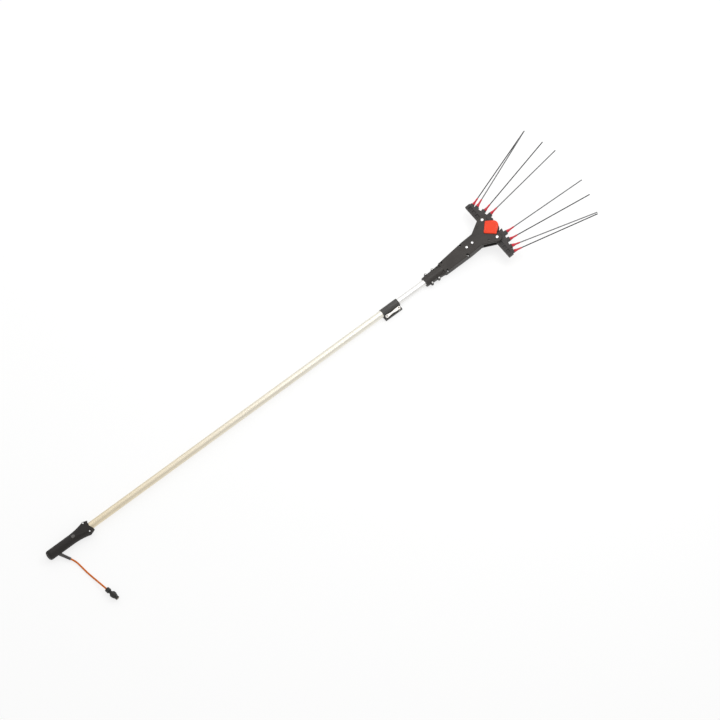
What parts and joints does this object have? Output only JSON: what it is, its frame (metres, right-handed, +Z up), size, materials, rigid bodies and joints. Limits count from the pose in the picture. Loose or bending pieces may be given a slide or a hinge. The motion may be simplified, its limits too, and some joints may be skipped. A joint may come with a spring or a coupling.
{
  "type": "electric olive harvester",
  "caption": "Telescopic pole harvester: pitched Y-shaped head with opposed swinging combs of slim tines, cam-lever pole clamp, push-button handle and short supply lead with plug.",
  "frame": {"origin": "on the floor the tool lies on, under the middle of its length without the supply lead", "axes": "+X along the pole from the handle to the head, +Y to the left, +Z up"},
  "size_m": [2.4838, 0.5146, 0.133],
  "materials": {
    "outer_tube": "satin champagne anodised",
    "inner_tube": "satin clear anodised",
    "handle_plastic": "fine grained black moulding",
    "inner_plastic": "plain black moulding",
    "circuit_board": "green lacquer",
    "button_plastic": "grey soft-touch",
    "cord_rubber_black": "matt black rubber",
    "cord_orange": "satin orange sheath",
    "plug_plastic": "matt black moulding",
    "brass": "turned",
    "clamp_plastic": "fine grained black moulding",
    "pad_rubber": "plain",
    "steel": "bright zinc plated",
    "lever_alloy": "tumbled casting",
    "lead_rubber": "black sheath",
    "head_plastic": "fine grained black moulding",
    "red_plastic": "satin red moulding",
    "motor_steel": "plated can",
    "carrier_alloy": "die cast",
    "comb_plastic": "fine grained black moulding",
    "holder_red": "satin red moulding",
    "carbon_rod": "pultruded carbon rod",
    "carbon_rod_grey": "pultruded carbon rod, worn grey"
  },
  "bodies": {
    "grip": {"outer_tube": "outer_tube", "handle_top_shell": "handle_plastic", "handle_bottom_shell": "handle_plastic", "handle_end_cap": "handle_plastic", "handle_screws": "steel", "switch_housing": "inner_plastic", "control_board": "circuit_board", "cord_boot": "cord_rubber_black", "supply_cord": "cord_orange", "plug_body": "plug_plastic", "plug_contacts": "brass", "clamp_collar": "clamp_plastic", "clamp_pad": "pad_rubber", "clamp_lever_pin": "steel", "coiled_lead": "lead_rubber"},
    "switch": {"button": "button_plastic"},
    "clamp_lever": {"clamp_lever": "lever_alloy"},
    "head": {"inner_tube": "inner_tube", "tube_guide": "inner_plastic", "head_lead": "lead_rubber", "head_top_shell": "head_plastic", "head_bottom_shell": "head_plastic", "head_cover": "red_plastic", "shell_screws": "steel", "neck_screws": "steel", "centre_bolts": "steel", "comb_pivot_bolts": "steel", "pivot_nuts": "steel", "thrust_washers": "steel", "motor": "motor_steel", "gear_carrier": "carrier_alloy"},
    "crank": {"crown_wheel": "steel"},
    "pinion": {"drive_pinion": "steel"},
    "rod_left": {"rod_left": "carrier_alloy"},
    "rod_right": {"rod_right": "carrier_alloy"},
    "comb_left": {"comb_bar_left": "comb_plastic", "comb_bush_left": "brass", "rod_pin_left": "steel", "tine_holders_left": "holder_red", "tine_left_1": "carbon_rod_grey", "tine_left_2": "carbon_rod", "tine_left_3": "carbon_rod_grey", "tine_left_4": "carbon_rod"},
    "comb_right": {"comb_bar_right": "comb_plastic", "comb_bush_right": "brass", "rod_pin_right": "steel", "tine_holders_right": "holder_red", "tine_right_1": "carbon_rod_grey", "tine_right_2": "carbon_rod", "tine_right_3": "carbon_rod_grey", "tine_right_4": "carbon_rod"}
  },
  "joints": [
    {"name": "pole_slide", "type": "slide", "parent": "grip", "child": "head", "axis": [1, 0, 0], "range_m": [0, 0.65], "deforming": ["coiled_lead"]},
    {"name": "lever_flip", "type": "hinge", "parent": "grip", "child": "clamp_lever", "pos_m": [0.40908, -0.022, 0.0195], "axis": [0, 0, 1], "range_deg": [0, 100]},
    {"name": "button_press", "type": "slide", "parent": "grip", "child": "switch", "axis": [0, 0, -1], "range_m": [0, 0.0025], "stiffness_N_per_m": 600},
    {"name": "comb_left_swing", "type": "hinge", "parent": "head", "child": "comb_left", "pos_m": [0.86553, 0.0447, 0.06013], "axis": [-0.1736, 0, 0.9848], "range_deg": [0, 17.5]},
    {"name": "comb_right_swing", "type": "hinge", "parent": "head", "child": "comb_right", "pos_m": [0.86553, -0.0447, 0.06013], "axis": [-0.1736, 0, 0.9848], "range_deg": [-17.5, 0]},
    {"name": "rod_left_swing", "type": "hinge", "parent": "comb_left", "child": "rod_left", "pos_m": [0.86159, 0.0187, 0.05944], "axis": [-0.1736, 0, 0.9848], "range_deg": [-17.5, 0]},
    {"name": "rod_right_swing", "type": "hinge", "parent": "comb_right", "child": "rod_right", "pos_m": [0.86159, -0.0187, 0.05944], "axis": [-0.1736, 0, 0.9848], "range_deg": [0, 17.5]},
    {"name": "crank_spin", "type": "hinge", "parent": "head", "child": "crank", "pos_m": [0.78674, 0, 0.04624], "axis": [-0.1736, 0, 0.9848], "continuous": true},
    {"name": "pinion_spin", "type": "hinge", "parent": "head", "child": "pinion", "pos_m": [0.74341, 0, 0.0386], "axis": [0.9848, 0, 0.1736], "continuous": true}
  ],
  "couplings": [
    {"joint": "comb_right_swing", "follows": "comb_left_swing", "ratio": -1},
    {"joint": "rod_left_swing", "follows": "comb_left_swing", "ratio": -1},
    {"joint": "rod_right_swing", "follows": "comb_left_swing", "ratio": 1},
    {"joint": "pinion_spin", "follows": "crank_spin", "ratio": -1.8875}
  ]
}
